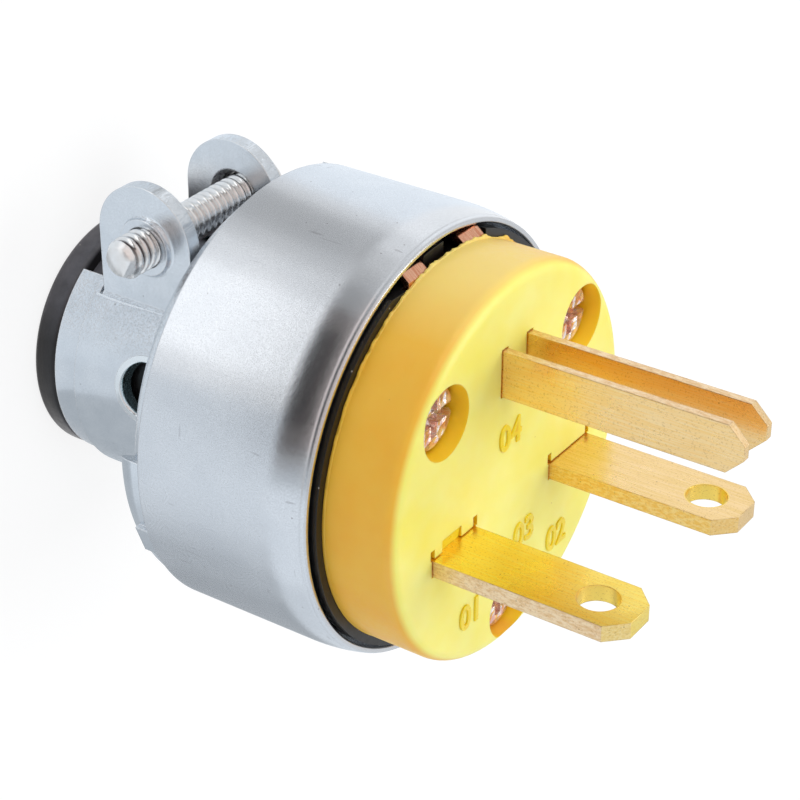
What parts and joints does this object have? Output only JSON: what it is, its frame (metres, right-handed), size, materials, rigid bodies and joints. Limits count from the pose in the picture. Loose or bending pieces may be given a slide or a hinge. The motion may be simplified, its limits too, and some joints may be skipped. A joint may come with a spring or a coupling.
{
  "type": "power plug",
  "caption": "Steel-clad power plug: insulating face with flat in-line blades and a folded ground blade, curled steel shell, and a rear neck with clamp ears and a screw.",
  "frame": {"origin": "centre of the round cord end, on the plane the plug stands on", "axes": "+Z along the plug from the cord end towards the blades, +X through the power blades, +Y towards the ground blade and the clamp ears"},
  "size_m": [0.0402, 0.0402, 0.066],
  "materials": {
    "shell_steel": "bright zinc plate",
    "cap_steel": "bright zinc plate with a bluish cast",
    "bushing_rubber": "matte black",
    "screw_steel": "bright nickel plate",
    "face_plastic": "moulded, semi-gloss",
    "body_plastic": "moulded, semi-gloss",
    "blade_brass": "rolled, fine scratches",
    "strap_copper": "bright copper alloy",
    "liner_fibre": "dark vulcanised fibre",
    "face_screw_plating": "yellow passivated zinc with a pink cast",
    "wire_screw_brass": "plain",
    "ground_screw_green": "green dyed plate",
    "plate_brass": "plain"
  },
  "bodies": {
    "root": {"steel_shell": "shell_steel", "rear_cap": "cap_steel", "cord_bushing": "bushing_rubber", "clamp_screw": "screw_steel", "face": "face_plastic", "insulator_body": "body_plastic", "blade_left": "blade_brass", "blade_right": "blade_brass", "ground_blade": "blade_brass", "ground_strap": "strap_copper", "fibre_liner": "liner_fibre", "face_screw_left": "face_screw_plating", "face_screw_right": "face_screw_plating", "face_screw_low": "face_screw_plating", "wire_screw_left": "wire_screw_brass", "wire_screw_right": "wire_screw_brass", "wire_screw_ground": "ground_screw_green", "wire_plate_left": "plate_brass", "wire_plate_right": "plate_brass", "wire_plate_ground": "plate_brass"}
  },
  "joints": []
}
